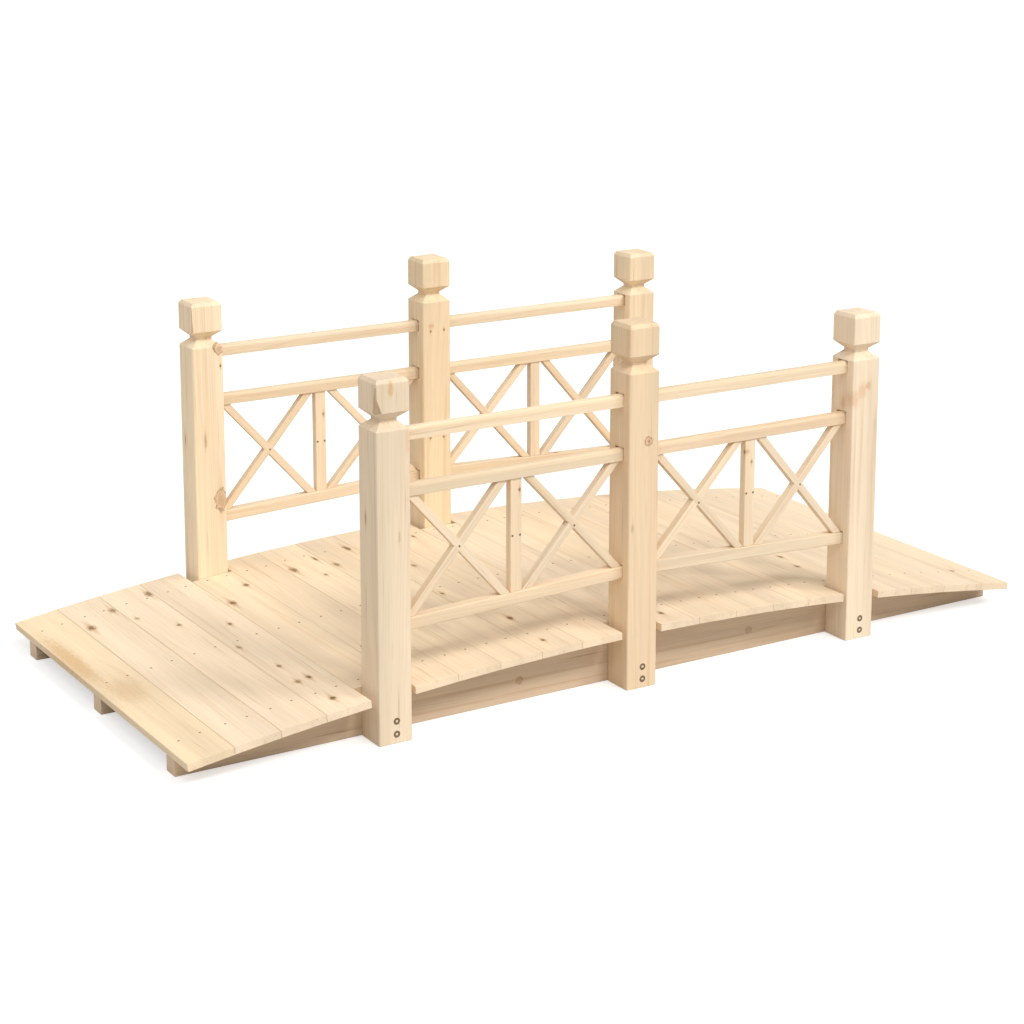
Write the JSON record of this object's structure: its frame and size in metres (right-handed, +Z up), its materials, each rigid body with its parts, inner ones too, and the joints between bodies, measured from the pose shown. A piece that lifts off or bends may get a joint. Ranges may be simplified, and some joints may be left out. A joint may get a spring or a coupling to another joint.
{
  "type": "garden bridge",
  "caption": "Small arched wooden garden bridge: cross boards on sawn joists, carved posts and low railings with diagonal lattice.",
  "frame": {"origin": "on the ground under the middle of the bridge", "axes": "+X along the bridge, +Y across it to the back railing, +Z up"},
  "size_m": [1.4806, 0.67, 0.56],
  "materials": {
    "joist_wood": "sawn and planed, untreated",
    "deck_wood": "planed, untreated",
    "post_wood": "planed, untreated",
    "rail_wood": "planed, untreated",
    "lattice_wood": "sawn, untreated"
  },
  "bodies": {
    "root": {"joist_front": "joist_wood", "joist_middle": "joist_wood", "joist_back": "joist_wood", "plank_01": "deck_wood", "plank_02": "deck_wood", "plank_03": "deck_wood", "plank_04": "deck_wood", "plank_05": "deck_wood", "plank_06": "deck_wood", "plank_07": "deck_wood", "plank_08": "deck_wood", "plank_09": "deck_wood", "plank_10": "deck_wood", "plank_11": "deck_wood", "plank_12": "deck_wood", "plank_13": "deck_wood", "plank_14": "deck_wood", "plank_15": "deck_wood", "plank_16": "deck_wood", "plank_17": "deck_wood", "plank_18": "deck_wood", "plank_19": "deck_wood", "plank_20": "deck_wood", "plank_21": "deck_wood", "post_front_left": "post_wood", "post_front_middle": "post_wood", "post_front_right": "post_wood", "top_rail_front_left": "rail_wood", "middle_rail_front_left": "rail_wood", "bottom_rail_front_left": "rail_wood", "baluster_front_left": "lattice_wood", "crosses_front_left": "lattice_wood", "top_rail_front_right": "rail_wood", "middle_rail_front_right": "rail_wood", "bottom_rail_front_right": "rail_wood", "baluster_front_right": "lattice_wood", "crosses_front_right": "lattice_wood", "post_back_left": "post_wood", "post_back_middle": "post_wood", "post_back_right": "post_wood", "top_rail_back_left": "rail_wood", "middle_rail_back_left": "rail_wood", "bottom_rail_back_left": "rail_wood", "baluster_back_left": "lattice_wood", "crosses_back_left": "lattice_wood", "top_rail_back_right": "rail_wood", "middle_rail_back_right": "rail_wood", "bottom_rail_back_right": "rail_wood", "baluster_back_right": "lattice_wood", "crosses_back_right": "lattice_wood"}
  },
  "joints": []
}
